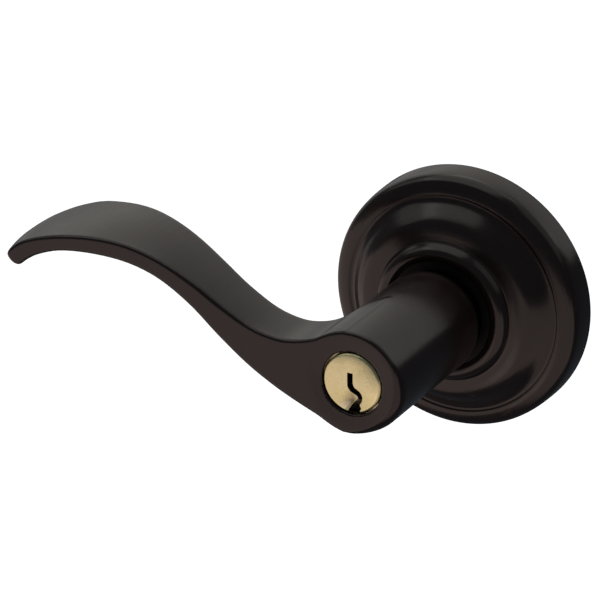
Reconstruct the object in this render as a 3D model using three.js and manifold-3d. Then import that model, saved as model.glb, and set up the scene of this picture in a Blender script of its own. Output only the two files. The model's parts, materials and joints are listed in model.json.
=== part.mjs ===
// Outside half of a keyed lever lockset. Millimetres, +Z up.
// The door's outer face is the plane y = 0, the lock's axis is the Y axis and -Y points away from the door.
import * as THREE from "three";
import { mergeVertices } from "three/addons/utils/BufferGeometryUtils.js";
import Module from "manifold-3d";

const wasm = await Module();
wasm.setup();

// ---------- driving dimensions ----------
const GAP = 0.3; // clearance between neighbouring pieces
const CUT = 1; // how far a cutting tool reaches past what it cuts
const FINE = 48; // facets round a large circle
const COARSE = 24; // facets round a small one

const ROSE_R = 33.35;
const ROSE_WALL_IN_R = 31.3;
const COLLAR_FRONT_Y = -16.9;
const COLLAR_BACK_Y = -15.5;
const COLLAR_HOLE_R = 14;
const SET_SCREW_Y = -3.2;
const SET_SCREW_Z = [-33, -29.4];
const SET_SCREW_R = 1.5;

const FACE_Y = -63; // front face of the lever
const NECK_R = 13.1;
const NECK_END_Y = -19.5;
const NECK_BORE_R = 11.4;
const BORE_END_Y = -39;
const DISH_R = 12.2; // the face is very slightly hollow inside this radius
const DISH_DEPTH = 0.4;

const DISC_R = 7.6; // visible face of the key plug
const DISC_FRONT_Y = -62.7;
const DISC_BACK_Y = -60.9;
const DISC_BEVEL = 0.5;
const PLUG_R = 5.5;
const PLUG_END_Y = -37.3;
const STUB_R = 4.6;
const STUB_END_Y = -34.6;

const SHELL_R = 8.6;
const SHELL_FRONT_Y = -60.6;
const SHELL_END_Y = -37.6;
const BIBLE_HALF_W = 2.6;
const BIBLE_TOP_Z = 10;
const COVER_TOP_Z = 10.95;
const BIBLE_SLOT_TOP_Z = 11.3;

const PIN_FIRST_Y = -56.6;
const PIN_PITCH = 3.8;
const PIN_COUNT = 5;
const PIN_R = 1.2;
const PIN_TIP_R = 0.5;
const PIN_TIP_H = 0.7;
const KEY_PIN_TOP_Z = 5.15;
const KEY_PIN_TIP_Z = [1.9, 2.5, 1.7, 2.8, 2.1];
const DRIVER_Z = [5.95, 7.8];
const PIN_SPRING_Z = [8.25, 9.8];
const PIN_SPRING_R = 0.85;
const PIN_SPRING_WIRE_R = 0.18;

const TUBE_R = 11.1;
const TUBE_IN_R = 9.9;
const TUBE_Y = [-37.2, 4];
const RING_GROOVE_Y = [1.1, 2.6];
const CORE_R = 2.9; // clear way for the tailpiece

const CATCH_Y = -25.5;
const CATCH_R = 1.2;
const CATCH_FLANGE_R = 2.1;
const CATCH_Z = [-12.7, -8.1];
const CATCH_FLANGE_H = 1.1;

const PLATE_Y = [-2.6, -0.3];
const PLATE_R = 30.6;
const PLATE_RIM_IN_R = 28.8;
const PLATE_RIM_Y = -5.2;
const POST_X = 17.5;
const POST_R = 3.6;
const POST_END_Y = 22;
const POST_BORE_R = 1.9;
const POST_BORE_Y = 6;

const HOUSING_R = 22;
const HOUSING_WALL = 0.9;
const HOUSING_FRONT_Y = -10;
const HOUSING_END_Y = -2.9;
const EAR_Y = -3.8;
const EAR_R = 27.6;
const SCREW_CIRCLE_R = 25.3;
const SCREW_ANGLES = [90, 210, 330];
const SCREW_HOLE_R = 1.4;
const SCREW_SHANK_R = 1.1;
const SCREW_HEAD_R = 2;
const SCREW_HEAD_Y = [-5.2, -4.1];

const COIL_R = 16.5;
const COIL_WIRE_R = 0.65;
const COIL_FROM = 108;
const COIL_TO = 262; // where the leg goes into the plate
const LEG_R = 1.1;

const ARM_Y = [-9, -7.2];
const ARM_END_R = 20.6;
const ARM_ANGLES = [78, 101];
const STOP_ANGLES = [[66, 74], [156, 164]];

const SPINDLE_HALF_W = 3.9;
const SPINDLE_END_Y = 31;
const TAILPIECE_END_Y = 33;
const TAILPIECE_HALF_W = 2.4;
const TAILPIECE_HALF_T = 0.8;

// ---------- materials ----------
const finish = (color, roughness, metalness) =>
  new THREE.MeshStandardMaterial({ color, roughness, metalness });
const BRONZE = finish(0x2b2522, 0.42, 0.6);
const BRASS = finish(0xc4a867, 0.32, 0.9);
const STEEL = finish(0x9c9d9f, 0.38, 0.95);
const ZINC = finish(0x8d8f90, 0.5, 0.85);
const SPRING_STEEL = finish(0x6f7072, 0.35, 0.95);
const BLACK_STEEL = finish(0x1c1c1d, 0.5, 0.8);
const NYLON = finish(0x161616, 0.6, 0);

const group = new THREE.Group();

function add(name, solid, material) {
  const mesh = new THREE.Mesh(geometryOf(solid), material);
  mesh.name = name;
  group.add(mesh);
}

// ---------- solids ----------
function toSolid(geometry) {
  const plain = geometry.clone();
  plain.deleteAttribute("normal");
  plain.deleteAttribute("uv");
  const merged = mergeVertices(plain, 1e-4);
  return new wasm.Manifold(
    new wasm.Mesh({
      numProp: 3,
      vertProperties: merged.attributes.position.array,
      triVerts: new Uint32Array(merged.index.array),
    }),
  );
}

function geometryOf(solid) {
  const mesh = solid.getMesh();
  const positions = new Float32Array(mesh.numVert * 3);
  for (let i = 0; i < mesh.numVert; i++) {
    const start = i * mesh.numProp;
    positions.set(mesh.vertProperties.subarray(start, start + 3), i * 3);
  }
  const geometry = new THREE.BufferGeometry();
  geometry.setAttribute("position", new THREE.BufferAttribute(positions, 3));
  geometry.setIndex(new THREE.BufferAttribute(mesh.triVerts, 1));
  geometry.computeVertexNormals();
  return geometry;
}

// Closed outline of [radius, y] points turned round the Y axis.
function revolve(outline, facets = FINE) {
  let area = 0;
  outline.forEach(([r, y], i) => {
    const [nextR, nextY] = outline[(i + 1) % outline.length];
    area += r * nextY - nextR * y;
  });
  const ordered = area > 0 ? outline : [...outline].reverse();
  const points = [...ordered, ordered[0]].map(([r, y]) => new THREE.Vector2(r, y));
  return toSolid(new THREE.LatheGeometry(points, facets));
}

const ring = (innerR, outerR, y0, y1, facets = FINE) =>
  revolve([[innerR, y0], [outerR, y0], [outerR, y1], [innerR, y1]], facets);

// Round bar along Y, centred on (x, z).
function rod(radius, y0, y1, x = 0, z = 0, facets = COARSE) {
  const bar = new THREE.CylinderGeometry(radius, radius, y1 - y0, facets);
  bar.translate(x, (y0 + y1) / 2, z);
  return toSolid(bar);
}

// Round bar along Z, centred on (x, y); a second radius makes the lower end conical.
function pin(radius, z0, z1, x, y, lowerR = radius, facets = 16) {
  const bar = new THREE.CylinderGeometry(radius, lowerR, z1 - z0, facets);
  bar.rotateX(Math.PI / 2);
  bar.translate(x, y, (z0 + z1) / 2);
  return toSolid(bar);
}

function box(x0, x1, y0, y1, z0, z1) {
  const block = new THREE.BoxGeometry(x1 - x0, y1 - y0, z1 - z0);
  block.translate((x0 + x1) / 2, (y0 + y1) / 2, (z0 + z1) / 2);
  return toSolid(block);
}

// Outline of [x, z] points made solid from y0 to y1.
function prism(outline, y0, y1) {
  const shape = new THREE.Shape(outline.map(([x, z]) => new THREE.Vector2(x, z)));
  const body = new THREE.ExtrudeGeometry(shape, { depth: y1 - y0, bevelEnabled: false });
  body.rotateX(Math.PI / 2);
  body.translate(0, y1, 0);
  return toSolid(body);
}

// Round wire of a given radius along a curve.
function wire(curve, radius, steps, sides = 8) {
  const section = new THREE.Shape();
  for (let i = 0; i < sides; i++) {
    const angle = (2 * Math.PI * i) / sides;
    const x = radius * Math.cos(angle);
    const y = radius * Math.sin(angle);
    if (i === 0) section.moveTo(x, y);
    else section.lineTo(x, y);
  }
  section.closePath();
  return toSolid(new THREE.ExtrudeGeometry(section, { steps, extrudePath: curve }));
}

// Sector of a ring round the Y axis, angles in degrees from +X towards +Z.
function sector(innerR, outerR, from, to, y0, y1, steps = 4) {
  const outline = [];
  for (let i = 0; i <= steps; i++) outline.push(polar(outerR, from + ((to - from) * i) / steps));
  for (let i = steps; i >= 0; i--) outline.push(polar(innerR, from + ((to - from) * i) / steps));
  return prism(outline, y0, y1);
}

function polar(radius, degrees) {
  const angle = THREE.MathUtils.degToRad(degrees);
  return [radius * Math.cos(angle), radius * Math.sin(angle)];
}

// ---------- rose ----------
const ROSE_OUTSIDE = [
  [ROSE_R, 0], [33.3, -3], [33.15, -5.5], [32.85, -7.1], [32.1, -8.2], [31.2, -8.8], [30.0, -9.2],
  [28.6, -9.5], [28.2, -9.3], [27.5, -9.35], [26.7, -9.8], [25.8, -10.6], [24.8, -11.65], [23.8, -12.6],
  [22.9, -13.2], [21.8, -13.7], [20.0, -14.05], [18.1, -14.3], [18.0, -14.7], [17.7, -15.2],
  [17.2, -16.0], [16.5, -16.6], [15.6, COLLAR_FRONT_Y], [14.7, -16.8], [COLLAR_HOLE_R, -16.3],
];
const ROSE_INSIDE = [
  [COLLAR_HOLE_R, COLLAR_BACK_Y], [16.7, COLLAR_BACK_Y], [16.9, -12.3], [18.4, -12.0], [21.4, -11.5],
  [23.6, -9.8], [25.6, -8.0], [27.2, -6.6], [28.8, -6.6], [29.9, -7.2], [30.7, -7.1], [ROSE_WALL_IN_R, -5.8],
  [ROSE_WALL_IN_R, 0],
];
const setScrewHole = pin(SET_SCREW_R + GAP, -ROSE_R - CUT, -28, 0, SET_SCREW_Y);
add("rose_cover", revolve([...ROSE_OUTSIDE, ...ROSE_INSIDE]).subtract(setScrewHole), BRONZE);

const hexSocket = pin(0.8, SET_SCREW_Z[0] - CUT, SET_SCREW_Z[0] + 1.1, 0, SET_SCREW_Y, 0.8, 6);
add("rose_set_screw", pin(SET_SCREW_R, ...SET_SCREW_Z, 0, SET_SCREW_Y).subtract(hexSocket), BLACK_STEEL);

const BUSHING_IN_R = TUBE_R + 0.4;
const BUSHING_FRONT_Y = -16.2;
const BUSHING_FLANGE_Y = COLLAR_BACK_Y + GAP;
const BUSHING_BACK_Y = -13.3;
add(
  "rose_bushing",
  revolve([
    [BUSHING_IN_R, BUSHING_FRONT_Y], [COLLAR_HOLE_R - GAP, BUSHING_FRONT_Y],
    [COLLAR_HOLE_R - GAP, BUSHING_FLANGE_Y], [16.4, BUSHING_FLANGE_Y], [16.4, BUSHING_BACK_Y],
    [BUSHING_IN_R, BUSHING_BACK_Y],
  ]),
  NYLON,
);

// ---------- mounting plate, posts and spring cage ----------
const PLATE_HOLE_R = TUBE_R + 0.5;
const postHole = (x) => rod(POST_R + GAP, PLATE_Y[0] - CUT, PLATE_Y[1] + CUT, x);
const screwHole = (degrees) => rod(SCREW_HOLE_R, -6, CUT, ...polar(SCREW_CIRCLE_R, degrees), 16);
let plate = revolve([
  [PLATE_HOLE_R, PLATE_Y[0]], [PLATE_RIM_IN_R, PLATE_Y[0]], [PLATE_RIM_IN_R, PLATE_RIM_Y],
  [PLATE_R, PLATE_RIM_Y], [PLATE_R, PLATE_Y[1]], [PLATE_HOLE_R, PLATE_Y[1]],
]);
plate = plate.subtract(postHole(POST_X)).subtract(postHole(-POST_X)).subtract(setScrewHole);
plate = plate.subtract(rod(LEG_R, PLATE_Y[0] - CUT, CUT, ...polar(COIL_R, COIL_TO), 16));
for (const degrees of SCREW_ANGLES) plate = plate.subtract(screwHole(degrees));
add("mounting_plate", plate, ZINC);

for (const [side, x] of [["left", -POST_X], ["right", POST_X]]) {
  const threadedBore = rod(POST_BORE_R, POST_BORE_Y, POST_END_Y + CUT, x, 0, 20);
  add("mounting_post_" + side, rod(POST_R, PLATE_Y[0] + 0.1, POST_END_Y, x).subtract(threadedBore), STEEL);
}

const HOUSING_HOLE_R = TUBE_R + 0.6;
let housing = revolve([
  [HOUSING_HOLE_R, HOUSING_FRONT_Y], [HOUSING_R, HOUSING_FRONT_Y], [HOUSING_R, HOUSING_END_Y],
  [HOUSING_R - HOUSING_WALL, HOUSING_END_Y], [HOUSING_R - HOUSING_WALL, HOUSING_FRONT_Y + HOUSING_WALL],
  [HOUSING_HOLE_R, HOUSING_FRONT_Y + HOUSING_WALL],
]);
for (const degrees of SCREW_ANGLES) {
  housing = housing.add(sector(HOUSING_R - 0.5, EAR_R, degrees - 7, degrees + 7, EAR_Y, HOUSING_END_Y));
  housing = housing.subtract(screwHole(degrees));
}
// Two stops limit how far the driver's arm can swing.
for (const [from, to] of STOP_ANGLES) {
  housing = housing.add(sector(18.8, HOUSING_R - 0.5, from, to, HOUSING_FRONT_Y + 0.5, -6));
}
add("spring_housing", housing, ZINC);

SCREW_ANGLES.forEach((degrees, i) => {
  const [x, z] = polar(SCREW_CIRCLE_R, degrees);
  const head = rod(SCREW_HEAD_R, ...SCREW_HEAD_Y, x, z, 20);
  const shank = rod(SCREW_SHANK_R, SCREW_HEAD_Y[1], -0.6, x, z, 16);
  const slot = box(x - 1.6, x + 1.6, SCREW_HEAD_Y[0] - CUT, SCREW_HEAD_Y[0] + 0.5, z - 0.3, z + 0.3);
  add("housing_screw_" + (i + 1), head.add(shank).subtract(slot), STEEL);
});

// The wire lies in a flat coil of nearly three turns, with one leg into the plate and one beside the arm.
class ReturnSpringCurve extends THREE.Curve {
  getPoint(t) {
    const legShare = 0.06;
    const legLength = 2.2;
    const along = THREE.MathUtils.clamp((t - legShare) / (1 - 2 * legShare), 0, 1);
    const [x, z] = polar(COIL_R, COIL_FROM + (COIL_TO + 720 - COIL_FROM) * along);
    let y = THREE.MathUtils.lerp(-6.5, -3.6, along);
    if (t < legShare) y -= legLength * (1 - t / legShare);
    if (t > 1 - legShare) y += legLength * ((t - 1 + legShare) / legShare);
    return new THREE.Vector3(x, y, z);
  }
}
add("return_spring", wire(new ReturnSpringCurve(), COIL_WIRE_R, 84, 5), SPRING_STEEL);

const WASHER_WAVES = 3;
const WASHER_WAVE_H = 0.2;
const WASHER_OUTLINE = [[11.6, 0.4], [13.4, 0.4], [13.4, 0.7], [11.6, 0.7], [11.6, 0.4]];
const washer = new THREE.LatheGeometry(WASHER_OUTLINE.map(([r, y]) => new THREE.Vector2(r, y)), FINE);
const washerPoints = washer.attributes.position;
for (let i = 0; i < washerPoints.count; i++) {
  const angle = Math.atan2(washerPoints.getZ(i), washerPoints.getX(i));
  washerPoints.setY(i, washerPoints.getY(i) + WASHER_WAVE_H * Math.sin(WASHER_WAVES * angle));
}
add("wave_washer", toSolid(washer), SPRING_STEEL);

// ---------- spindle ----------
let tube = ring(TUBE_IN_R, TUBE_R, ...TUBE_Y);
tube = tube.subtract(ring(TUBE_R - 0.6, TUBE_R + CUT, ...RING_GROOVE_Y));
tube = tube.subtract(pin(CATCH_R + GAP, -12, -9, 0, CATCH_Y));
add("spindle_tube", tube, BLACK_STEEL);

const ringOpening = prism([[0, 0], polar(20, 285), polar(20, 255)], 0, 3);
const ringY = [RING_GROOVE_Y[0] + GAP, RING_GROOVE_Y[1] - GAP];
add("retaining_ring", ring(TUBE_R - GAP, 13.5, ...ringY).subtract(ringOpening), SPRING_STEEL);

const driver = ring(TUBE_R + GAP, 14.4, ...ARM_Y);
const arm = sector(13.5, ARM_END_R, ...ARM_ANGLES, ARM_Y[0], ARM_Y[1] - GAP);
add("spring_driver", driver.add(arm), STEEL);

const INSERT_Y = [-30.5, -20.5];
const INSERT_R = TUBE_IN_R - GAP;
const catchPocket = pin(CATCH_FLANGE_R + GAP, -12, -4.1, 0, CATCH_Y, undefined, 20);
add("spindle_insert", ring(CORE_R, INSERT_R, ...INSERT_Y).subtract(catchPocket), ZINC);

const catchFlangeZ = CATCH_Z[1] - CATCH_FLANGE_H;
const catchPin = pin(CATCH_R, CATCH_Z[0], catchFlangeZ, 0, CATCH_Y);
const catchFlange = pin(CATCH_FLANGE_R, catchFlangeZ - 0.1, CATCH_Z[1], 0, CATCH_Y, undefined, 20);
add("lever_catch", catchPin.add(catchFlange), STEEL);

class CoilCurve extends THREE.Curve {
  constructor(radius, z0, z1, y, turns) {
    super();
    Object.assign(this, { radius, z0, z1, y, turns });
  }
  getPoint(t) {
    const angle = 2 * Math.PI * this.turns * t;
    const z = this.z0 + (this.z1 - this.z0) * t;
    return new THREE.Vector3(this.radius * Math.cos(angle), this.y + this.radius * Math.sin(angle), z);
  }
}
add("catch_spring", wire(new CoilCurve(1.5, -7.6, -4.6, CATCH_Y, 4), 0.25, 40, 5), SPRING_STEEL);

const SQUARE_HALF_W = SPINDLE_HALF_W + GAP;
const squareHole = box(-SQUARE_HALF_W, SQUARE_HALF_W, -CUT, 8, -SQUARE_HALF_W, SQUARE_HALF_W);
const spindleCap = revolve([
  [0, 0.6], [INSERT_R, 0.6], [INSERT_R, TUBE_Y[1] + GAP], [TUBE_R, TUBE_Y[1] + GAP], [TUBE_R, 5.6], [0, 5.6],
]);
add("spindle_cap", spindleCap.subtract(squareHole), ZINC);

const bar = box(-SPINDLE_HALF_W, SPINDLE_HALF_W, -0.5, SPINDLE_END_Y, -SPINDLE_HALF_W, SPINDLE_HALF_W);
const barFlange = rod(7, -1.5, 0.3);
add("drive_spindle", bar.add(barFlange).subtract(rod(CORE_R, -3, SPINDLE_END_Y + CUT)), STEEL);

// ---------- cylinder ----------
const pinY = Array.from({ length: PIN_COUNT }, (_, i) => PIN_FIRST_Y + PIN_PITCH * i);
let shell = rod(SHELL_R, SHELL_FRONT_Y, SHELL_END_Y, 0, 0, FINE);
shell = shell.add(box(-BIBLE_HALF_W, BIBLE_HALF_W, SHELL_FRONT_Y, SHELL_END_Y, 0, BIBLE_TOP_Z));
shell = shell.add(rod(TUBE_R, SHELL_END_Y - 1.2, SHELL_END_Y, 0, 0, FINE));
shell = shell.subtract(rod(PLUG_R + GAP, SHELL_FRONT_Y - CUT, SHELL_END_Y + CUT, 0, 0, 40));
// Relief below the keyway for the lower edge of the key.
shell = shell.subtract(box(-1.4, 2.6, SHELL_FRONT_Y - CUT, SHELL_FRONT_Y + 2.4, -SHELL_R - CUT, -5));
for (const y of pinY) shell = shell.subtract(pin(PIN_R + GAP, 3, 12, 0, y));
add("cylinder_shell", shell, BRASS);

add("chamber_cover", box(-2.2, 2.2, -59.6, -39.4, BIBLE_TOP_Z + GAP, COVER_TOP_Z), BRASS);

const KEYWAY = [
  [-1.0, 2.6], [0.3, 2.6], [0.35, 0.2], [0.7, -0.8], [2.0, -1.6], [2.6, -2.5], [2.7, -3.6], [1.9, -5.2],
  [2.4, -5.9], [2.0, -6.7], [2.2, -9], [-1.0, -9], [-0.6, -7.4], [0.2, -5.5], [1.2, -4.3], [1.75, -3.4],
  [1.3, -2.7], [0.2, -2.3], [-0.8, -1.2], [-1.0, 0],
];
const KEYWAY_END_Y = -38.6;
const SCALLOP_R = 3.4;
const SCALLOP_DEPTH = 0.7;
const SCALLOP_AT = [0.2, 0, -4.1];
let plug = revolve([
  [0, DISC_FRONT_Y], [DISC_R - DISC_BEVEL, DISC_FRONT_Y], [DISC_R, DISC_FRONT_Y + DISC_BEVEL],
  [DISC_R, DISC_BACK_Y], [PLUG_R, DISC_BACK_Y], [PLUG_R, PLUG_END_Y], [STUB_R, PLUG_END_Y],
  [STUB_R, STUB_END_Y], [0, STUB_END_Y],
]);
// Shallow cone round the keyway that guides the key in.
const scallop = revolve([
  [0, DISC_FRONT_Y + SCALLOP_DEPTH], [SCALLOP_R, DISC_FRONT_Y], [SCALLOP_R, DISC_FRONT_Y - CUT],
  [0, DISC_FRONT_Y - CUT],
]);
plug = plug.subtract(scallop.translate(SCALLOP_AT));
plug = plug.subtract(prism(KEYWAY, DISC_FRONT_Y - CUT, KEYWAY_END_Y));
for (const y of pinY) plug = plug.subtract(pin(PIN_R + GAP, 0.5, 7, 0, y));
add("key_plug", plug, BRASS);

pinY.forEach((y, i) => {
  const tipZ = KEY_PIN_TIP_Z[i];
  const tip = pin(PIN_R, tipZ, tipZ + PIN_TIP_H, 0, y, PIN_TIP_R);
  add("key_pin_" + (i + 1), tip.add(pin(PIN_R, tipZ + PIN_TIP_H, KEY_PIN_TOP_Z, 0, y)), BRASS);
  add("driver_pin_" + (i + 1), pin(PIN_R, ...DRIVER_Z, 0, y), STEEL);
  const coil = new CoilCurve(PIN_SPRING_R, ...PIN_SPRING_Z, y, 3);
  add("pin_spring_" + (i + 1), wire(coil, PIN_SPRING_WIRE_R, 27, 5), SPRING_STEEL);
});

add("plug_retainer", ring(STUB_R + GAP, 7, PLUG_END_Y + GAP, -35.7, 40), STEEL);
const tailpieceHead = rod(STUB_R, STUB_END_Y + GAP, -33.1, 0, 0, 32);
const tailpieceBlade = box(
  -TAILPIECE_HALF_W, TAILPIECE_HALF_W, -33.2, TAILPIECE_END_Y, -TAILPIECE_HALF_T, TAILPIECE_HALF_T,
);
add("tailpiece", tailpieceHead.add(tailpieceBlade), BRASS);

// ---------- lever ----------
// Sections along the lever: x, z of the front face's top and bottom, depth back from the face,
// and how much higher the back edge lies than the front one.
const LEVER_SECTIONS = [
  [-95.0, 14.5, 13.3, 6, 1.4], [-94.4, 15.5, 12.6, 8.5, 1.7], [-93.4, 16.5, 12.0, 11.5, 1.8],
  [-91.6, 17.8, 12.0, 15.8, 1.6], [-89.6, 18.9, 13.4, 19.4, 1.3], [-86.1, 20.4, 15.8, 24, 0.8],
  [-82.6, 21.4, 17.2, 26, 0.5], [-79.2, 22.2, 18.0, 26.4, 0.3], [-75.8, 22.8, 18.6, 26.4, 0.1],
  [-72.4, 23.2, 18.8, 25.8, 0], [-69, 23.4, 18.9, 25, 0], [-65.6, 23.5, 18.9, 23.8, 0],
  [-62.3, 23.3, 18.7, 22.8, 0], [-59, 22.8, 18.2, 21.8, 0], [-55.7, 22.1, 17.4, 20.8, 0],
  [-52.4, 21.2, 16.2, 19.8, 0], [-49.1, 19.9, 14.6, 18.8, 0], [-45.8, 18.4, 12.6, 17.8, 0],
  [-42.5, 16.8, 10.3, 16.8, 0], [-39.3, 15.0, 7.6, 16.1, 0], [-36, 13.1, 4.9, 15.6, 0],
  [-32.8, 11.4, 2.4, 15.6, 0], [-29.5, 9.9, 0.1, 15.3, 0], [-26.3, 8.8, -2.0, 15.1, 0],
  [-23, 8.1, -4.0, 14.9, 0], [-19.8, 7.8, -5.7, 14.7, 0], [-16.6, 8.0, -7.2, 14.6, 0],
  [-13.4, 8.6, -8.6, 14.6, 0], [-10.2, 9.6, -9.9, 15.4, 0], [-8.4, 10.3, -10.4, 17.2, 0],
  [-6.9, 10.9, -10.9, 19.4, 0], [-4, 12.0, -12.0, 22, 0],
];

// Closed skin through sections that have the same number of points each.
function loft(sections) {
  const count = sections[0].length;
  const last = sections.length - 1;
  const triangles = [];
  for (let s = 0; s < last; s++) {
    for (let i = 0; i < count; i++) {
      const j = (i + 1) % count;
      triangles.push(sections[s][i], sections[s + 1][j], sections[s][j]);
      triangles.push(sections[s][i], sections[s + 1][i], sections[s + 1][j]);
    }
  }
  const middle = (points) => [0, 1, 2].map((k) => points.reduce((sum, p) => sum + p[k], 0) / count);
  const start = middle(sections[0]);
  const end = middle(sections[last]);
  for (let i = 0; i < count; i++) {
    const j = (i + 1) % count;
    triangles.push(start, sections[0][i], sections[0][j]);
    triangles.push(end, sections[last][j], sections[last][i]);
  }
  const geometry = new THREE.BufferGeometry();
  geometry.setAttribute("position", new THREE.Float32BufferAttribute(triangles.flat(), 3));
  return toSolid(geometry);
}

function leverSection([x, top, bottom, depth, rise]) {
  const edge = Math.min(0.8, (top - bottom) * 0.3);
  const back = Math.min(2.2, (top - bottom) * 0.42);
  const y0 = FACE_Y;
  const y1 = FACE_Y + depth;
  return [
    [x, y0, top - edge * 0.6], [x, y0 + edge * 0.6, top],
    [x, y0 + depth * 0.35, top + rise * 0.5], [x, y0 + depth * 0.7, top + rise * 0.9],
    [x, y1 - back * 0.7, top + rise], [x, y1, top + rise - back],
    [x, y1, bottom + rise + back], [x, y1 - back * 0.7, bottom + rise],
    [x, y0 + depth * 0.5, bottom + rise * 0.7], [x, y0 + edge, bottom], [x, y0, bottom + edge],
  ];
}

const NECK_EDGE = 0.6;
let lever = loft(LEVER_SECTIONS.map(leverSection));
lever = lever.add(revolve([
  [0, FACE_Y], [NECK_R - NECK_EDGE, FACE_Y], [NECK_R, FACE_Y + NECK_EDGE], [NECK_R, NECK_END_Y - 2],
  [NECK_R - 0.5, NECK_END_Y - 0.6], [NECK_R - 1.2, NECK_END_Y], [0, NECK_END_Y],
]));
const SEAT_R = DISC_R + 0.35;
lever = lever.subtract(revolve([
  [0, FACE_Y - CUT], [DISH_R, FACE_Y - CUT], [DISH_R, FACE_Y], [10.2, FACE_Y + DISH_DEPTH * 0.45],
  [SEAT_R, FACE_Y + DISH_DEPTH], [SEAT_R, DISC_BACK_Y], [SHELL_R + GAP, DISC_BACK_Y],
  [SHELL_R + GAP, BORE_END_Y], [NECK_BORE_R, BORE_END_Y], [NECK_BORE_R, NECK_END_Y + CUT],
  [0, NECK_END_Y + CUT],
]));
const slotHalfW = BIBLE_HALF_W + GAP;
lever = lever.subtract(box(-slotHalfW, slotHalfW, DISC_BACK_Y, BORE_END_Y + 0.5, 0, BIBLE_SLOT_TOP_Z));
lever = lever.subtract(pin(CATCH_R + GAP, -NECK_R - CUT, -10, 0, CATCH_Y));
add("lever_handle", lever, BRONZE);

export default group;
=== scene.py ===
"""Looks for the outside half of a keyed lever lockset, in dark bronze with a brass key plug. Metres, +Z up.

The door's face is the plane y = 0, -Y points away from it, and the lock turns on the Y axis.
"""
import json
import math

import bmesh
import bpy
import numpy as np
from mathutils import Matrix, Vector


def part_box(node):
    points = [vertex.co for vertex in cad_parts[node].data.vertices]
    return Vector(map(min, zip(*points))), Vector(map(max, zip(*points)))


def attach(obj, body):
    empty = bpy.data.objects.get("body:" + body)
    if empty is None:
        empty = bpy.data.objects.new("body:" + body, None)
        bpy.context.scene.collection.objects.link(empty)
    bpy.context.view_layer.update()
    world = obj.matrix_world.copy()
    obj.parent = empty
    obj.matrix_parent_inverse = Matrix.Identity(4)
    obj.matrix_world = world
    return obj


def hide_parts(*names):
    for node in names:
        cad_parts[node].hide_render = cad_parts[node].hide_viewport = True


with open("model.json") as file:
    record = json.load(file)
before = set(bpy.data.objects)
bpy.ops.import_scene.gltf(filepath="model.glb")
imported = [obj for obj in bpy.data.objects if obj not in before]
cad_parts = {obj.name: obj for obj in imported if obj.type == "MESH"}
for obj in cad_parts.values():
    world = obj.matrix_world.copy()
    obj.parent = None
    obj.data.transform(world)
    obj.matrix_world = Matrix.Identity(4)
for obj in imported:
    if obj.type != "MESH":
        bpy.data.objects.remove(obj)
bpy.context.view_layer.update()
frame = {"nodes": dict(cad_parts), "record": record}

MM = 0.001
NODES = frame["nodes"]


# ---------- sizes, taken from the frame ----------
lever_low, lever_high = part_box("lever_handle")
plug_low, plug_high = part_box("key_plug")
rose_low, rose_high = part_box("rose_cover")
tube_low, tube_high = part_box("spindle_tube")
shell_low, shell_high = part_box("cylinder_shell")

FACE_Y = lever_low.y / MM
NECK_END_Y = lever_high.y / MM
NECK_R = lever_high.x / MM
TIP_X = lever_low.x / MM
DISC_R = plug_high.x / MM
ROSE_R = rose_high.x / MM
ROSE_FRONT_Y = rose_low.y / MM


# ---------- curves ----------
def smooth_curve(points, steps):
    """Points along a smooth line through the given ones, with steps pieces between neighbours."""
    knots = np.array(points, float)
    padded = np.vstack([2 * knots[0] - knots[1], knots, 2 * knots[-1] - knots[-2]])
    line = []
    for p0, p1, p2, p3 in zip(padded, padded[1:], padded[2:], padded[3:]):
        for t in np.arange(steps) / steps:
            line.append(
                0.5 * (2 * p1 + (p2 - p0) * t + (2 * p0 - 5 * p1 + 4 * p2 - p3) * t**2
                       + (3 * p1 - p0 - 3 * p2 + p3) * t**3)
            )
    line.append(knots[-1])
    return np.array(line)


def smooth_step(value, low, high):
    t = np.clip((value - low) / (high - low), 0, 1)
    return t * t * (3 - 2 * t)


# ---------- meshes ----------
def new_object(name, mesh):
    piece = bpy.data.objects.new(name, mesh)
    bpy.context.scene.collection.objects.link(piece)
    mesh.shade_smooth()
    return piece


def mesh_object(name, vertices_mm, faces):
    mesh = bpy.data.meshes.new(name)
    mesh.from_pydata((np.asarray(vertices_mm, float) * MM).tolist(), [], faces)
    mesh.update()
    return new_object(name, mesh)


def revolved(name, outline_mm, segments):
    """A closed outline of (radius, y) points turned round the Y axis."""
    outline = np.asarray(outline_mm, float)
    nexts = np.roll(outline, -1, axis=0)
    area = np.sum(outline[:, 0] * nexts[:, 1] - nexts[:, 0] * outline[:, 1])
    if area < 0:
        outline = outline[::-1]
    count = len(outline)
    vertices = []
    for s in range(segments):
        angle = 2 * math.pi * s / segments
        vertices += [(r * math.cos(angle), y, r * math.sin(angle)) for r, y in outline]
    faces = []
    for s in range(segments):
        here, there = s * count, (s + 1) % segments * count
        for i in range(count):
            j = (i + 1) % count
            faces.append((here + i, here + j, there + j, there + i))
    return mesh_object(name, vertices, faces)


def prism(name, outline_mm, y0, y1):
    """A closed outline of (x, z) points made solid from y0 to y1."""
    count = len(outline_mm)
    vertices = [(x, y0, z) for x, z in outline_mm] + [(x, y1, z) for x, z in outline_mm]
    faces = [tuple(range(count)), tuple(range(2 * count - 1, count - 1, -1))]
    faces += [(i, i + count, (i + 1) % count + count, (i + 1) % count) for i in range(count)]
    piece = mesh_object(name, vertices, faces)
    bm = bmesh.new()
    bm.from_mesh(piece.data)
    bmesh.ops.recalc_face_normals(bm, faces=bm.faces)
    bm.to_mesh(piece.data)
    bm.free()
    return piece


def cut(piece, tool):
    """Takes the tool's volume out of the piece and removes the tool."""
    modifier = piece.modifiers.new("cut", "BOOLEAN")
    modifier.operation = "DIFFERENCE"
    modifier.solver = "EXACT"
    modifier.object = tool
    apply_modifiers(piece)
    bpy.data.objects.remove(tool)


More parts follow.
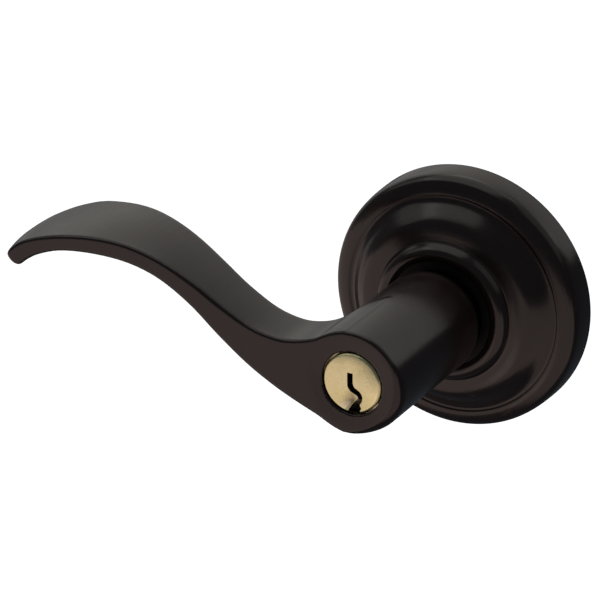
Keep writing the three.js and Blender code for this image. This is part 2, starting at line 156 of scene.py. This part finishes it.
def apply_modifiers(piece):
    depsgraph = bpy.context.evaluated_depsgraph_get()
    made = bpy.data.meshes.new_from_object(piece.evaluated_get(depsgraph))
    piece.modifiers.clear()
    piece.data = made


def soften(piece, width_mm, segments=2, angle=35):
    """Rounds the edges that are sharper than angle, with hardened normals."""
    bevel = piece.modifiers.new("bevel", "BEVEL")
    bevel.width = width_mm * MM
    bevel.segments = segments
    bevel.limit_method = "ANGLE"
    bevel.angle_limit = math.radians(angle)
    bevel.harden_normals = True
    return piece


# ---------- rounded solids from a distance field ----------
def smooth_max(a, b, blend):
    overlap = np.maximum(blend - np.abs(a - b), 0)
    return np.maximum(a, b) + overlap**2 / (4 * blend)


def smooth_min(a, b, blend):
    return -smooth_max(-a, -b, blend)


def outline_distance(px, pz, outline):
    """Signed distance of points from a closed outline, negative inside."""
    starts = outline
    ends = np.roll(outline, -1, axis=0)
    best = np.full(px.shape, np.inf)
    inside = np.zeros(px.shape, bool)
    for (ax, az), (bx, bz) in zip(starts, ends):
        dx, dz = bx - ax, bz - az
        t = np.clip(((px - ax) * dx + (pz - az) * dz) / (dx * dx + dz * dz), 0, 1)
        best = np.minimum(best, (px - ax - t * dx) ** 2 + (pz - az - t * dz) ** 2)
        crosses = (az > pz) != (bz > pz)
        if dz:
            inside ^= crosses & (px < ax + (pz - az) * dx / dz)
    return np.where(inside, -1, 1) * np.sqrt(best)


def field_mesh(name, field, low, high, step, rounds=3):
    """A closed quad mesh where field(points) is zero, with one vertex in each grid cell that it crosses."""
    axes = [np.arange(a, b + step, step) for a, b in zip(low, high)]
    grid = np.stack(np.meshgrid(*axes, indexing="ij"), -1)
    inside = field(grid.reshape(-1, 3)).reshape(grid.shape[:3]) < 0
    corners = [
        inside[i:inside.shape[0] - 1 + i, j:inside.shape[1] - 1 + j, k:inside.shape[2] - 1 + k]
        for i in (0, 1) for j in (0, 1) for k in (0, 1)
    ]
    crossed = np.any(corners, axis=0) & ~np.all(corners, axis=0)
    number = np.full(crossed.shape, -1)
    number[crossed] = np.arange(crossed.sum())
    points = grid[:-1, :-1, :-1][crossed] + step / 2

    quads = []
    for axis in range(3):
        sides = np.moveaxis(inside, axis, 0)
        cells = np.moveaxis(number, axis, 0)
        here, there = sides[:-1, 1:-1, 1:-1], sides[1:, 1:-1, 1:-1]
        ring = np.stack([cells[:, :-1, :-1], cells[:, 1:, :-1], cells[:, 1:, 1:], cells[:, :-1, 1:]], -1)
        turned = axis == 1
        leaving = ring[here & ~there]
        entering = ring[~here & there]
        quads.append(leaving[:, ::-1] if turned else leaving)
        quads.append(entering if turned else entering[:, ::-1])
    quads = np.concatenate(quads)

    for _ in range(rounds):
        total = np.zeros_like(points)
        count = np.zeros(len(points))
        for a in range(4):
            for b in ((a + 1) % 4, (a + 3) % 4):
                np.add.at(total, quads[:, a], points[quads[:, b]])
                np.add.at(count, quads[:, a], 1)
        points = 0.5 * points + 0.5 * total / count[:, None]
        points = onto_surface(points, field, step)
    return mesh_object(name, points, quads.tolist())


def onto_surface(points, field, step):
    """Moves points along the field's slope until the field is zero there."""
    small = 0.02
    for _ in range(2):
        value = field(points)
        slope = np.stack(
            [(field(points + small * side) - value) / small for side in np.eye(3)], -1
        )
        length = np.maximum(np.sum(slope**2, axis=1), 0.25)
        move = slope * (value / length)[:, None]
        points = points - np.clip(move, -step, step)
    return points


# ---------- lever ----------
# Front face of the lever: (x, z) points along its top edge and its underside, from the neck to the tip.
TOP_EDGE = [
    (-2.0, 12.9), (-6.5, 11.3), (-10.5, 9.4), (-15.0, 8.1), (-20.0, 7.6), (-27.0, 8.9), (-35.0, 12.6),
    (-43.0, 17.1), (-52.0, 21.1), (-61.0, 23.2), (-70.0, 23.4), (-79.0, 22.2), (-86.0, 20.4), (-90.5, 18.5),
    (-93.5, 16.3),
]
TIP_END = [(-94.9, 14.6), (-94.8, 13.6), (-94.0, 12.6), (-92.7, 11.95), (-91.5, 12.0)]
UNDERSIDE = [
    (-90.5, 12.7), (-89.2, 13.8), (-86.0, 15.75), (-80.0, 17.9), (-72.0, 18.9), (-63.0, 18.8), (-56.0, 17.5),
    (-50.0, 15.1), (-43.0, 10.7), (-36.0, 4.9), (-28.0, -1.0), (-20.0, -5.5), (-12.0, -9.0), (-6.0, -11.3),
    (-2.0, -12.8),
]
# Plan of the lever: x, how far its back edge lies behind the face, and how far it is lifted there.
PLAN = [
    (-97.6, 0.5, 1.4), (-95.0, 7.5, 1.8), (-92.2, 15.0, 1.7), (-89.0, 20.8, 1.2), (-86.0, 24.2, 0.8),
    (-82.0, 26.2, 0.5), (-76.0, 26.4, 0.1), (-68.0, 24.8, 0), (-59.0, 21.9, 0), (-50.0, 19.2, 0),
    (-40.0, 16.7, 0), (-30.0, 15.4, 0), (-20.0, 14.7, 0), (-14.0, 14.6, 0), (-10.4, 15.4, 0), (-8.2, 17.6, 0),
    (-6.0, 20.4, 0), (-2.0, 24.0, 0), (4.0, 26.0, 0),
]
LEVER_OUTLINE = smooth_curve(TOP_EDGE + TIP_END + UNDERSIDE, 4)
LEVER_PLAN = smooth_curve(PLAN, 6)
CLEARANCE = 0.3
DISC_CLEARANCE = 0.35
DISH_R = 12.2
DISH_DEPTH = 0.4
SEAT_R = 8.9
SEAT_BEFORE_TUBE = 1.8
CHAMBER_SLOT_HALF_W = 2.9
CHAMBER_SLOT_TOP_Z = 11.3
CHAMBER_SLOT_OVERLAP = 0.5
CROWN = 0.35
BACK_EDGE_ROUNDING = 2.2
NECK_END_ROUNDING = 2.6
JUNCTION_ROUNDING = 0.8
FRONT_EDGE_ROUNDING = 0.9
LOWER_RIGHT_ROUNDING = 2.6
LEVER_GRID = 0.45


def neck_hollow(points, radius):
    """Distance into the hollow that holds the cylinder and the spindle's tube, negative in the hollow."""
    y = points[:, 1]
    shell_front = shell_low.y / MM - CLEARANCE
    shell_end = tube_low.y / MM - SEAT_BEFORE_TUBE
    dish = y - FACE_Y - DISH_DEPTH * (1 - smooth_step(radius, DISC_R, DISH_R))
    disc_way = radius - (DISC_R + DISC_CLEARANCE)
    seat = np.maximum(radius - SEAT_R, shell_front - y)
    tube_way = np.maximum(radius - (tube_high.x / MM + CLEARANCE), shell_end - y)
    slot = np.maximum(np.abs(points[:, 0]) - CHAMBER_SLOT_HALF_W, points[:, 2] - CHAMBER_SLOT_TOP_Z)
    slot = np.maximum(slot, -points[:, 2])
    slot = np.maximum(slot, np.maximum(shell_front - y, y - shell_end - CHAMBER_SLOT_OVERLAP))
    return np.minimum.reduce([dish, disc_way, seat, tube_way, slot])


def lever_field(points):
    """Distance from the lever's surface, negative inside the metal."""
    x, y, z = points.T
    radius = np.hypot(x, z)
    behind = np.interp(x, LEVER_PLAN[:, 0], LEVER_PLAN[:, 1])
    lift = np.interp(x, LEVER_PLAN[:, 0], LEVER_PLAN[:, 2])
    across = np.clip((y - FACE_Y) / np.maximum(behind, 1), 0, 1)
    crown = CROWN * np.sin(math.pi * across) * smooth_step(-x, 14, 30)
    blade = outline_distance(x, z - lift * across - crown, LEVER_OUTLINE)
    blade = smooth_max(blade, y - FACE_Y - behind, BACK_EDGE_ROUNDING)
    neck = smooth_max(radius - NECK_R, y - NECK_END_Y, NECK_END_ROUNDING)
    body = smooth_min(blade, neck, JUNCTION_ROUNDING)
    lower_right = smooth_step(x - 0.6 * z, 6, 14)
    edge = FRONT_EDGE_ROUNDING + LOWER_RIGHT_ROUNDING * lower_right
    body = smooth_max(body, FACE_Y - y, edge)
    return np.maximum(body, -neck_hollow(points, radius))


def make_lever():
    low = (TIP_X - 1.3, FACE_Y - 1.2, -NECK_R - 1.1)
    high = (NECK_R + 1.2, NECK_END_Y + 1.2, lever_high.z / MM + 1.2)
    lever = field_mesh("lever", lever_field, low, high, LEVER_GRID)
    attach(lever, "lever")
    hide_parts("lever_handle")
    return lever


# ---------- rose ----------
# Section of the rose: (radius, y) points, first from the door over rim and dome to the collar, then inside.
ROSE_OUTSIDE = [
    (ROSE_R - 0.05, -0.1), (33.25, -3.0), (33.1, -5.5), (32.8, -7.1), (32.05, -8.2), (31.1, -8.75),
    (30.0, -9.15), (29.2, -9.35), (28.65, -9.42), (28.35, -9.3), (28.1, -9.2), (27.5, -9.3), (26.7, -9.75),
    (25.8, -10.55), (24.8, -11.6), (23.8, -12.5), (22.9, -13.15), (21.8, -13.6), (20.0, -13.98),
    (18.3, -14.2), (18.02, -14.4), (17.95, -14.75), (17.7, -15.2), (17.2, -16.0), (16.5, -16.6),
    (15.6, ROSE_FRONT_Y), (14.7, -16.75), (14.0, -16.3),
]
ROSE_INSIDE = [
    (14.0, -15.5), (16.7, -15.5), (16.9, -12.3), (18.4, -12.0), (21.4, -11.5), (23.6, -9.8), (25.6, -8.0),
    (27.2, -6.6), (28.8, -6.6), (29.9, -7.2), (30.7, -7.1), (31.3, -5.8), (31.3, 0), (ROSE_R - 0.3, 0),
]
SET_SCREW_HOLE_R = 1.8
SET_SCREW_HOLE_DEPTH = 4


def make_rose():
    outline = np.vstack([smooth_curve(ROSE_OUTSIDE, 5), np.array(ROSE_INSIDE)])
    rose = revolved("rose", outline, 160)
    screw_low, screw_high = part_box("rose_set_screw")
    centre_y = (screw_low.y + screw_high.y) / 2
    bpy.ops.mesh.primitive_cylinder_add(
        vertices=32, radius=SET_SCREW_HOLE_R * MM, depth=2 * SET_SCREW_HOLE_DEPTH * MM,
        location=(0, centre_y, -ROSE_R * MM),
    )
    cut(rose, bpy.context.active_object)
    rose.data.set_sharp_from_angle(angle=math.radians(40))
    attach(rose, "chassis")
    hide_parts("rose_cover")
    return rose


# ---------- key plug ----------
# The keyway's outline on the plug's face: (x, z) points down its right side, then up its left side.
KEYWAY_RIGHT = [
    (0.35, 2.7), (0.37, 1.2), (0.4, 0.2), (0.75, -0.75), (1.45, -1.2), (2.2, -1.7), (2.75, -2.5), (2.9, -3.4),
    (2.65, -4.3), (2.15, -5.1), (2.6, -5.9), (2.3, -6.7), (2.6, -7.6), (2.6, -9.0),
]
KEYWAY_LEFT = [
    (-1.5, -9.0), (-1.1, -7.8), (-0.6, -6.6), (0.1, -5.4), (1.0, -4.3), (1.6, -3.6), (1.3, -2.95),
    (0.3, -2.5), (-0.5, -1.9), (-1.0, -0.9), (-1.1, 0.2), (-1.1, 1.4), (-1.1, 2.7),
]
PLUG_R = 5.5
PLUG_STUB_R = 4.6
PLUG_STUB_LENGTH = 2.7
KEYWAY_END_BEFORE_BACK = 3.8
PIN_HOLE_R = 1.5
PIN_HOLE_DEPTH = 6
PIN_HOLE_MIDDLE_Z = 3.6
SCALLOP_R = 3.8
SCALLOP_CENTRE = Vector((0.2, 0, -4.1))


def make_plug():
    front = plug_low.y / MM
    back = plug_high.y / MM
    outline = [
        (0.01, front), (DISC_R - 0.55, front), (DISC_R - 0.48, front + 0.03), (DISC_R - 0.1, front + 0.42),
        (DISC_R - 0.02, front + 0.5), (DISC_R, front + 0.6), (DISC_R, front + 1.8), (PLUG_R, front + 1.8),
        (PLUG_R, back - PLUG_STUB_LENGTH), (PLUG_STUB_R, back - PLUG_STUB_LENGTH), (PLUG_STUB_R, back),
        (0.01, back),
    ]
    plug = revolved("plug", outline, 96)
    bm = bmesh.new()
    bm.from_mesh(plug.data)
    bmesh.ops.remove_doubles(bm, verts=bm.verts, dist=0.03 * MM)
    bm.to_mesh(plug.data)
    bm.free()
    keyway = np.vstack([smooth_curve(KEYWAY_RIGHT, 4), smooth_curve(KEYWAY_LEFT, 4)])
    cut(plug, prism("keyway", keyway.tolist(), front - 1, back - KEYWAY_END_BEFORE_BACK))
    scallop = revolved("scallop", [(0.01, front + 0.7), (SCALLOP_R, front - 0.08), (0.01, front - 0.08)], 64)
    scallop.location = SCALLOP_CENTRE * MM
    bpy.context.view_layer.update()
    cut(plug, scallop)
    for node in sorted(NODES):
        if node.startswith("key_pin_"):
            low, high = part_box(node)
            centre = (low + high) / 2
            bpy.ops.mesh.primitive_cylinder_add(
                vertices=24, radius=PIN_HOLE_R * MM, depth=PIN_HOLE_DEPTH * MM,
                location=(0, centre.y, PIN_HOLE_MIDDLE_Z * MM),
            )
            cut(plug, bpy.context.active_object)
    plug.data.set_sharp_from_angle(angle=math.radians(30))
    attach(plug, "plug")
    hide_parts("key_plug")
    return plug


# ---------- materials ----------
class Surface:
    """A material with one main shader, and short ways to add noise, colour ramps and bump to it."""

    def __init__(self, name):
        self.material = bpy.data.materials.new(name)
        self.material.use_nodes = True
        self.nodes = self.material.node_tree.nodes
        self.links = self.material.node_tree.links
        self.shader = self.nodes["Principled BSDF"]
        self.place = self.nodes.new("ShaderNodeTexCoord").outputs["Object"]

    def noise(self, scale, detail=4.0, roughness=0.6, stretch=(1, 1, 1)):
        mapping = self.nodes.new("ShaderNodeMapping")
        mapping.inputs["Scale"].default_value = stretch
        self.links.new(self.place, mapping.inputs["Vector"])
        texture = self.nodes.new("ShaderNodeTexNoise")
        texture.inputs["Scale"].default_value = scale
        texture.inputs["Detail"].default_value = detail
        texture.inputs["Roughness"].default_value = roughness
        self.links.new(mapping.outputs["Vector"], texture.inputs["Vector"])
        return texture.outputs["Fac"]

    def ramp(self, source, stops):
        """Colours or greys at positions of the source, as {position: (r, g, b)}."""
        ramp = self.nodes.new("ShaderNodeValToRGB")
        elements = ramp.color_ramp.elements
        while len(elements) < len(stops):
            elements.new(0.5)
        for element, (position, colour) in zip(elements, sorted(stops.items())):
            element.position = position
            element.color = (*colour, 1)
        self.links.new(source, ramp.inputs["Fac"])
        return ramp.outputs["Color"]

    def mix(self, factor, first, second, kind="MIX"):
        mix = self.nodes.new("ShaderNodeMix")
        mix.data_type = "RGBA"
        mix.blend_type = kind
        for socket, value in zip(("Factor", "A", "B"), (factor, first, second)):
            target = [i for i in mix.inputs if i.name == socket and i.type in ("RGBA", "VALUE")]
            target = target[0] if socket == "Factor" else target[-1]
            if isinstance(value, (int, float)):
                target.default_value = value
            elif isinstance(value, tuple):
                target.default_value = (*value, 1)
            else:
                self.links.new(value, target)
        return [o for o in mix.outputs if o.type == "RGBA"][0]

    def worn_edges(self, start, end):
        """0 on flats and 1 on edges that stand proud."""
        edges = self.nodes.new("ShaderNodeNewGeometry").outputs["Pointiness"]
        return self.ramp(edges, {start: (0, 0, 0), end: (1, 1, 1)})

    def deeper(self, y_mm, over_mm):
        """0 in front of y_mm and 1 further than over_mm behind it."""
        separate = self.nodes.new("ShaderNodeSeparateXYZ")
        self.links.new(self.place, separate.inputs["Vector"])
        span = self.nodes.new("ShaderNodeMapRange")
        span.inputs["From Min"].default_value = y_mm * MM
        span.inputs["From Max"].default_value = (y_mm + over_mm) * MM
        self.links.new(separate.outputs["Y"], span.inputs["Value"])
        return span.outputs["Result"]

    def bump(self, height, distance_mm, strength=1.0):
        bump = self.nodes.new("ShaderNodeBump")
        bump.inputs["Strength"].default_value = strength
        bump.inputs["Distance"].default_value = distance_mm * MM
        self.links.new(height, bump.inputs["Height"])
        self.links.new(bump.outputs["Normal"], self.shader.inputs["Normal"])

    def set(self, **values):
        for name, value in values.items():
            socket = self.shader.inputs[name.replace("_", " ")]
            if hasattr(value, "links"):
                self.links.new(value, socket)
            else:
                socket.default_value = value


def grey(value):
    return (value, value, value)


def bronze_material():
    """Dark oil-rubbed bronze: brown-black, satin, slightly mottled, a touch warmer on worn edges."""
    surface = Surface("bronze")
    mottled = surface.ramp(
        surface.noise(90, 5), {0.3: (0.0135, 0.0080, 0.0078), 0.7: (0.0190, 0.0110, 0.0104)}
    )
    edges = surface.worn_edges(0.54, 0.66)
    colour = surface.mix(edges, mottled, (0.034, 0.024, 0.019))
    surface.set(
        Base_Color=colour,
        Roughness=surface.ramp(surface.noise(240, 3), {0.3: grey(0.18), 0.7: grey(0.23)}),
    )
    surface.bump(surface.noise(1400, 2), 0.01, 0.35)
    return surface.material


def brass_material(name, painted_shade_depth=None):
    """Satin brass with fine brushing and a little tarnish; given a depth, painted shade: dark red-brown
    colour on surfaces deeper than that behind the face.
    """
    surface = Surface(name)
    tarnish = surface.ramp(
        surface.noise(220, 5), {0.3: (0.85, 0.80, 0.43), 0.75: (0.91, 0.87, 0.51)}
    )
    colour = surface.mix(surface.worn_edges(0.53, 0.62), tarnish, (0.98, 0.94, 0.66))
    if painted_shade_depth is not None:
        # Painted shade: behind the given depth the colour fades to dark red-brown over 0.9 mm, darkening the
        # keyway and the hollows in the face.
        colour = surface.mix(surface.deeper(painted_shade_depth, 0.9), colour, (0.045, 0.012, 0.006))
    brushing = surface.noise(900, 3, stretch=(1, 0.1, 1))
    surface.set(
        Base_Color=colour,
        Roughness=surface.ramp(brushing, {0.3: grey(0.24), 0.7: grey(0.34)}),
        Metallic=0.95,
    )
    surface.bump(surface.noise(2600, 2, stretch=(1, 0.05, 1)), 0.006, 0.5)
    return surface.material


def steel_material(name, dark, light, roughness):
    """Plated or oiled steel with fine lines along the part."""
    surface = Surface(name)
    surface.set(
        Base_Color=surface.ramp(surface.noise(160, 4), {0.3: grey(dark), 0.7: grey(light)}),
        Roughness=surface.ramp(
            surface.noise(1200, 3, stretch=(1, 0.15, 1)), {0.3: grey(roughness), 0.7: grey(roughness + 0.12)}
        ),
        Metallic=0.95,
    )
    surface.bump(surface.noise(3000, 2, stretch=(1, 0.1, 1)), 0.006, 0.4)
    return surface.material


def zinc_material():
    """Die-cast zinc: grey, dull, with a grain like fine sand."""
    surface = Surface("cast_zinc")
    surface.set(
        Base_Color=surface.ramp(surface.noise(120, 6), {0.3: grey(0.46), 0.7: grey(0.58)}),
        Roughness=surface.ramp(surface.noise(500, 4), {0.3: grey(0.48), 0.7: grey(0.62)}),
        Metallic=0.8,
    )
    surface.bump(surface.noise(1800, 5), 0.03, 0.6)
    return surface.material


def nylon_material():
    """Black moulded nylon with a faint mould grain."""
    surface = Surface("nylon")
    surface.set(
        Base_Color=surface.ramp(surface.noise(300, 4), {0.3: grey(0.003), 0.7: grey(0.006)}),
        Roughness=surface.ramp(surface.noise(900, 3), {0.3: grey(0.5), 0.7: grey(0.62)}),
        Specular_IOR_Level=0.2,
    )
    surface.bump(surface.noise(2400, 4), 0.015, 0.5)
    return surface.material


def make_materials():
    return {
        "bronze": bronze_material(),
        "brass": brass_material("brass"),
        # The plug's brass has painted shade on everything more than 0.1 mm behind its face.
        "plug_brass": brass_material("plug_brass", painted_shade_depth=plug_low.y / MM + 0.1),
        "steel": steel_material("steel", 0.56, 0.68, 0.26),
        "spring_steel": steel_material("spring_steel", 0.16, 0.25, 0.3),
        "black_steel": steel_material("black_steel", 0.008, 0.014, 0.42),
        "cast_zinc": zinc_material(),
        "nylon": nylon_material(),
    }


def dress(piece, material):
    piece.data.materials.clear()
    piece.data.materials.append(material)


# ---------- stage ----------
AIM = Vector((-29.65, -33.0, 4.05)) * MM
CAMERA_AZIMUTH = math.radians(28.3)
CAMERA_ELEVATION = math.radians(23.4)
CAMERA_DISTANCE = 0.9
CAMERA_LENS = 221.2


def make_camera():
    outward = Vector((
        math.sin(CAMERA_AZIMUTH) * math.cos(CAMERA_ELEVATION),
        -math.cos(CAMERA_AZIMUTH) * math.cos(CAMERA_ELEVATION),
        math.sin(CAMERA_ELEVATION),
    ))
    data = bpy.data.cameras.new("camera")
    data.lens = CAMERA_LENS
    data.sensor_width = 36
    data.clip_start = 0.05
    camera = bpy.data.objects.new("camera", data)
    camera.location = AIM + outward * CAMERA_DISTANCE
    camera.rotation_euler = outward.to_track_quat("Z", "Y").to_euler()
    bpy.context.scene.collection.objects.link(camera)
    bpy.context.scene.camera = camera


def softbox(name, azimuth, elevation, distance, width, height, radiance, colour=(1, 1, 1)):
    """A flat light that faces the object: azimuth from +X towards +Y, elevation up from level, in degrees."""
    a, e = math.radians(azimuth), math.radians(elevation)
    towards = Vector((math.cos(a) * math.cos(e), math.sin(a) * math.cos(e), math.sin(e)))
    data = bpy.data.lights.new(name, "AREA")
    data.shape = "RECTANGLE"
    data.size = width
    data.size_y = height
    data.energy = radiance * math.pi * width * height
    data.color = colour
    light = bpy.data.objects.new(name, data)
    light.location = AIM + towards * distance
    light.rotation_euler = towards.to_track_quat("Z", "Y").to_euler()
    light.visible_camera = False
    bpy.context.scene.collection.objects.link(light)


def make_floor():
    """A pale floor that shows behind the object but puts no light on it."""
    bpy.ops.mesh.primitive_plane_add(size=12, location=(0, 0, -1.0))
    floor = bpy.context.active_object
    floor.name = "floor"
    material = bpy.data.materials.new("floor")
    material.use_nodes = True
    shader = material.node_tree.nodes["Principled BSDF"]
    shader.inputs["Base Color"].default_value = (0.9, 0.9, 0.9, 1)
    shader.inputs["Roughness"].default_value = 1.0
    shader.inputs["Emission Color"].default_value = (1, 1, 1, 1)
    shader.inputs["Emission Strength"].default_value = 1.0
    dress(floor, material)
    floor.visible_glossy = False
    floor.visible_diffuse = False


def make_world():
    """Dim surroundings, a little brighter in front on the left; they look plain white to the camera."""
    world = bpy.data.worlds.new("studio")
    world.use_nodes = True
    nodes = world.node_tree.nodes
    links = world.node_tree.links
    direction = nodes.new("ShaderNodeTexCoord").outputs["Generated"]
    along = nodes.new("ShaderNodeVectorMath")
    along.operation = "DOT_PRODUCT"
    along.inputs[1].default_value = (-0.55, -0.60, 0.58)
    links.new(direction, along.inputs[0])
    strength = nodes.new("ShaderNodeMapRange")
    strength.inputs["From Min"].default_value = -0.9
    strength.inputs["From Max"].default_value = 0.8
    strength.inputs["To Min"].default_value = 0.06
    strength.inputs["To Max"].default_value = 0.09
    links.new(along.outputs["Value"], strength.inputs["Value"])
    background = nodes["Background"]
    background.inputs["Color"].default_value = (0.7, 0.85, 1.0, 1)
    links.new(strength.outputs["Result"], background.inputs["Strength"])
    white = nodes.new("ShaderNodeBackground")
    white.inputs["Color"].default_value = (1, 1, 1, 1)
    seen = nodes.new("ShaderNodeMixShader")
    links.new(nodes.new("ShaderNodeLightPath").outputs["Is Camera Ray"], seen.inputs[0])
    links.new(background.outputs["Background"], seen.inputs[1])
    links.new(white.outputs["Background"], seen.inputs[2])
    links.new(seen.outputs["Shader"], nodes["World Output"].inputs["Surface"])
    bpy.context.scene.world = world


def make_lights():
    """Five pale soft panels above, beside and behind, and three warm low ones in front and on the left."""
    pale = (1.0, 0.94, 0.86)
    warm = (1.0, 0.76, 0.66)
    softbox("top", 165, 74, 1.4, 2.2, 1.4, 0.64, pale)
    softbox("left", 196, 37, 1.5, 0.8, 0.8, 0.42, pale)
    softbox("right", 20, 46, 1.5, 1.7, 1.3, 0.26, pale)
    softbox("behind", 104, 31, 1.6, 4.4, 1.15, 0.54, pale)
    softbox("low_behind", 134, 1, 1.6, 2.2, 0.55, 0.30, pale)
    softbox("front_left", 220, -30, 1.3, 2.2, 1.15, 0.64, warm)
    softbox("front_right", 309, -35, 1.3, 2.1, 1.3, 0.54, warm)
    softbox("low_left", 158, -22, 1.4, 1.0, 0.7, 0.36, warm)


# ---------- assembly ----------
make_camera()
make_floor()
make_world()
make_lights()
bpy.context.scene.view_settings.view_transform = "Standard"

EDGE_ROUNDING = 0.12
materials = make_materials()
slots = {entry["node"]: entry["material_slot"] for entry in frame["record"]["subparts"]}
for node, piece in NODES.items():
    dress(piece, materials[slots[node]])
    soften(piece, EDGE_ROUNDING)

dress(make_lever(), materials["bronze"])
dress(make_rose(), materials["bronze"])
dress(make_plug(), materials["plug_brass"])
